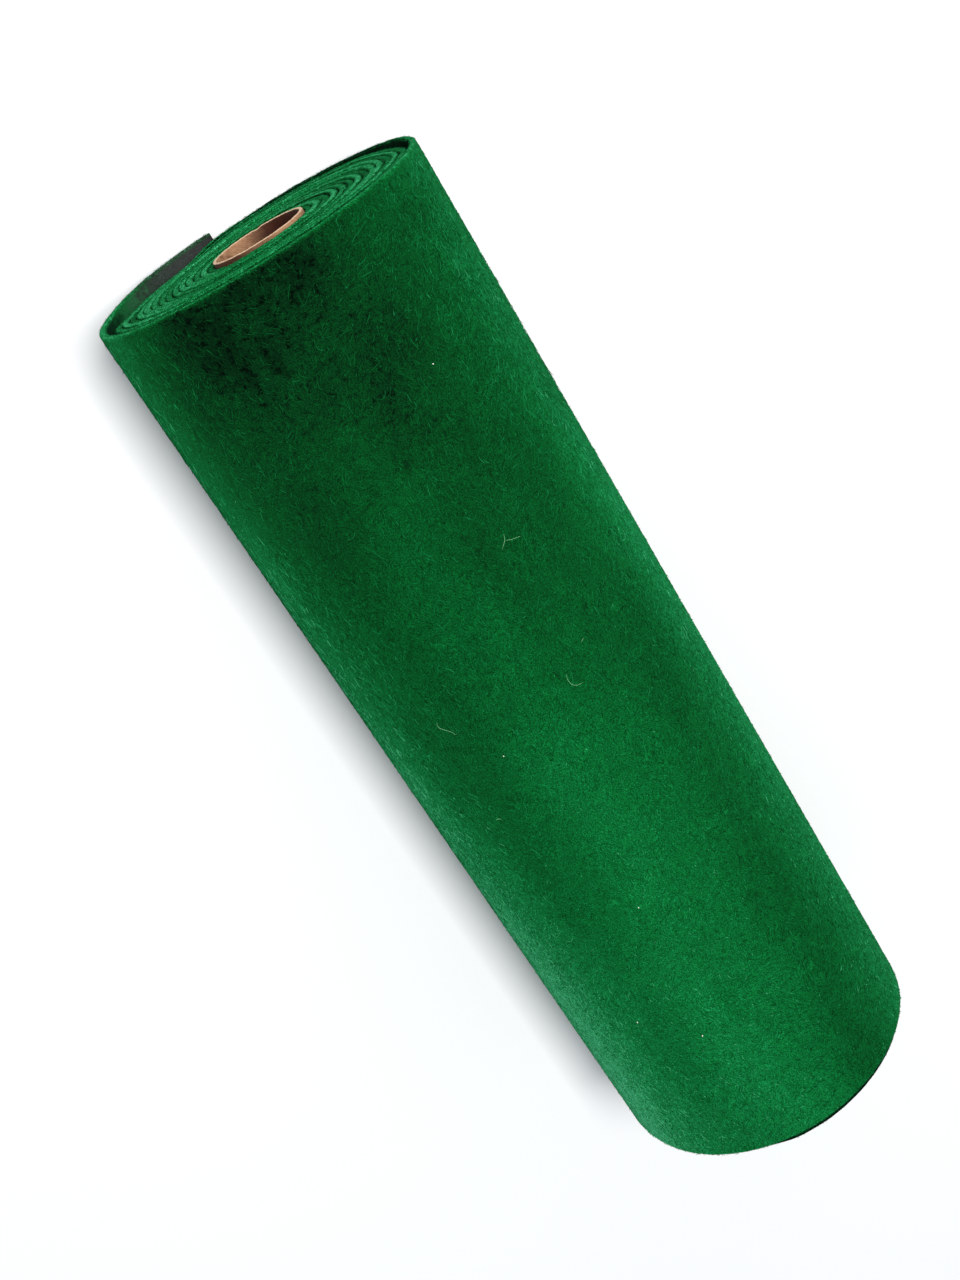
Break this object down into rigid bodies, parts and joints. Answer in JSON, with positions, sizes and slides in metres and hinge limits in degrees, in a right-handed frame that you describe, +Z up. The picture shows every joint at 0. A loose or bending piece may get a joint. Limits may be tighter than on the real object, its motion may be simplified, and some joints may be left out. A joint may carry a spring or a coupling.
{
  "type": "roll of felt",
  "caption": "Thick green felt wound on a plain cardboard tube, lying on its side with its loose end tucked under one side.",
  "frame": {"origin": "on the surface that the roll lies on, under the middle of the roll's box", "axes": "+X along the roll, away from the end whose felt edge stands proud; +Z up; the loose end of the felt comes out under the -Y side"},
  "size_m": [0.4558, 0.143, 0.1423],
  "materials": {
    "felt": "matt needled felt with fine loose fibres",
    "cardboard": "plain brown card, spiral wound, uncoated"
  },
  "bodies": {
    "root": {"felt_roll": "felt", "core_tube": "cardboard"}
  },
  "joints": []
}
